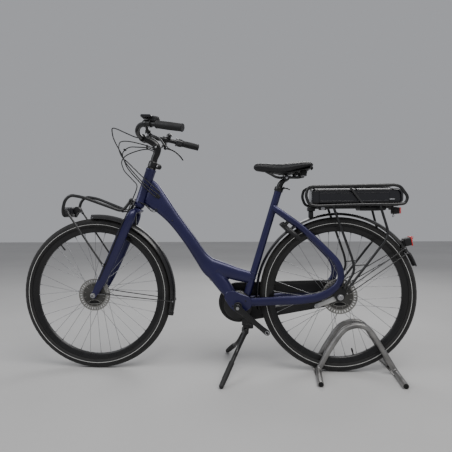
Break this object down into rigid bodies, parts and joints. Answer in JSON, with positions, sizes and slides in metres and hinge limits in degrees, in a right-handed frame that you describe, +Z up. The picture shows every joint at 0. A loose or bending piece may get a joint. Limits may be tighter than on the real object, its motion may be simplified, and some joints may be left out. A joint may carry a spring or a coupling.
{
  "type": "city bicycle on floor stand",
  "caption": "Step-through city bicycle with rack battery, mid drive motor, closed chain case and front carrier, held in a bent-tube floor stand.",
  "frame": {"origin": "on the floor, midway between the two wheel axles", "axes": "+X along the bicycle towards the rear wheel, +Y towards the drive side (the rider's right is +Y), +Z up; the front wheel is at -X"},
  "size_m": [1.835, 0.5152, 1.143],
  "materials": {
    "worn_steel": "worn",
    "navy_paint": "satin",
    "black_metal": "satin",
    "black_plastic": "matte",
    "gloss_black_plastic": "gloss",
    "mudguard_plastic": "satin",
    "steel": "satin",
    "chrome_steel": "polished",
    "bright_alloy": "satin",
    "black_alloy": "anodised black",
    "spoke_steel": "polished",
    "dark_bell": "gloss",
    "saddle_cover": "satin",
    "elastomer": "matte",
    "cell_wrap": "shrink wrap",
    "red_lens": "lens",
    "tyre_rubber": "matte",
    "grip_rubber": "ribbed",
    "cable_rubber": "satin"
  },
  "bodies": {
    "stand": {"stand_hoops": "worn_steel", "stand_bars": "worn_steel"},
    "frame": {"head_tube": "navy_paint", "headset": "black_metal", "down_tube": "navy_paint", "seat_tube": "navy_paint", "rear_stays": "navy_paint", "motor_housing": "black_plastic", "chain": "steel", "chain_case": "black_plastic", "kickstand_bracket": "black_metal", "seat_collar": "black_alloy", "rack_frame": "black_metal", "rack_stays": "black_metal", "rack_tray": "black_plastic", "rear_mudguard": "mudguard_plastic", "rear_light": "red_lens", "rear_reflector": "red_lens", "ring_lock": "black_plastic", "rear_axle": "steel", "rear_brake": "bright_alloy"},
    "motor_rotor": {"motor_rotor": "steel"},
    "crank": {"crank_spindle": "steel", "crank_arms": "black_alloy", "chainring": "steel"},
    "sprocket": {"rear_sprocket": "steel"},
    "rear_wheel": {"rear_hub": "bright_alloy", "rear_spokes": "spoke_steel", "rear_rim": "black_alloy", "rear_tyre": "tyre_rubber"},
    "kick_left": {"kickstand_leg_left": "black_metal"},
    "kick_right": {"kickstand_leg_right": "black_metal"},
    "seat": {"seatpost": "black_alloy", "saddle_rails": "steel", "saddle_base": "black_plastic", "saddle_pad": "saddle_cover", "saddle_springs": "elastomer"},
    "battery": {"battery_case": "gloss_black_plastic", "battery_cells": "cell_wrap"},
    "shackle": {"lock_shackle": "chrome_steel"},
    "steering": {"fork": "navy_paint", "stem": "black_alloy", "handlebar": "black_alloy", "grips": "grip_rubber", "brake_perches": "black_alloy", "display": "gloss_black_plastic", "front_mudguard": "mudguard_plastic", "front_carrier": "black_metal", "headlight": "gloss_black_plastic", "front_axle": "steel", "front_brake": "bright_alloy", "steering_cables": "cable_rubber"},
    "front_wheel": {"front_hub": "bright_alloy", "front_spokes": "spoke_steel", "front_rim": "black_alloy", "front_tyre": "tyre_rubber"},
    "lever_left": {"brake_lever_left": "black_alloy"},
    "lever_right": {"brake_lever_right": "black_alloy"},
    "shifter": {"gear_shifter": "grip_rubber"},
    "bell_cap": {"bell": "dark_bell"}
  },
  "joints": [
    {"name": "lift_from_stand", "type": "slide", "parent": "stand", "child": "frame", "axis": [0, 0, 1], "range_m": [0, 0.25]},
    {"name": "steering", "type": "hinge", "parent": "frame", "child": "steering", "pos_m": [-0.297, 0, 0.942], "axis": [0.3338, 0, 0.9426], "range_deg": [-40, 40], "deforming": ["steering_cables"]},
    {"name": "front_wheel_spin", "type": "hinge", "parent": "steering", "child": "front_wheel", "pos_m": [-0.5625, 0, 0.355], "axis": [0, 1, 0], "continuous": true},
    {"name": "rear_wheel_spin", "type": "hinge", "parent": "frame", "child": "rear_wheel", "pos_m": [0.5625, 0, 0.355], "axis": [0, 1, 0], "continuous": true},
    {"name": "crank_turn", "type": "hinge", "parent": "frame", "child": "crank", "pos_m": [0.107, 0, 0.305], "axis": [0, 1, 0], "continuous": true},
    {"name": "sprocket_turn", "type": "hinge", "parent": "frame", "child": "sprocket", "pos_m": [0.5625, 0, 0.355], "axis": [0, 1, 0], "continuous": true},
    {"name": "rotor_spin", "type": "hinge", "parent": "frame", "child": "motor_rotor", "pos_m": [0.077, 0, 0.283], "axis": [0, 1, 0], "continuous": true},
    {"name": "kickstand_left_fold", "type": "hinge", "parent": "frame", "child": "kick_left", "pos_m": [0.141, -0.03, 0.186], "axis": [0.309, -0.9511, 0], "range_deg": [0, 115]},
    {"name": "kickstand_right_fold", "type": "hinge", "parent": "frame", "child": "kick_right", "pos_m": [0.141, 0.03, 0.186], "axis": [-0.309, -0.9511, 0], "range_deg": [0, 115]},
    {"name": "seat_height", "type": "slide", "parent": "frame", "child": "seat", "axis": [0.291, 0, 0.9567], "range_m": [-0.005, 0.09]},
    {"name": "battery_slide", "type": "slide", "parent": "frame", "child": "battery", "axis": [1, 0, 0], "range_m": [0, 0.42]},
    {"name": "lock_close", "type": "hinge", "parent": "frame", "child": "shackle", "pos_m": [0.366, 0, 0.63], "axis": [0.6534, 0, 0.757], "range_deg": [-114, 0]},
    {"name": "brake_lever_left_squeeze", "type": "hinge", "parent": "steering", "child": "lever_left", "pos_m": [-0.262, -0.163, 1.066], "axis": [-0.6542, -0.7564, 0], "range_deg": [0, 18], "stiffness_Nm_per_rad": 1, "springref_deg": -17.19},
    {"name": "brake_lever_right_squeeze", "type": "hinge", "parent": "steering", "child": "lever_right", "pos_m": [-0.262, 0.163, 1.066], "axis": [0.6542, -0.7564, 0], "range_deg": [0, 18], "stiffness_Nm_per_rad": 1, "springref_deg": -17.19},
    {"name": "shifter_turn", "type": "hinge", "parent": "steering", "child": "shifter", "pos_m": [-0.227, 0.2, 1.104], "axis": [0.9281, 0.3145, -0.1994], "range_deg": [-45, 45]},
    {"name": "bell_cap_turn", "type": "hinge", "parent": "steering", "child": "bell_cap", "pos_m": [-0.247, 0.18, 1.13], "axis": [0, 0, 1], "range_deg": [-25, 25], "stiffness_Nm_per_rad": 0.05}
  ],
  "couplings": [
    {"joint": "sprocket_turn", "follows": "crank_turn", "ratio": 2},
    {"joint": "kickstand_right_fold", "follows": "kickstand_left_fold", "ratio": 1}
  ]
}
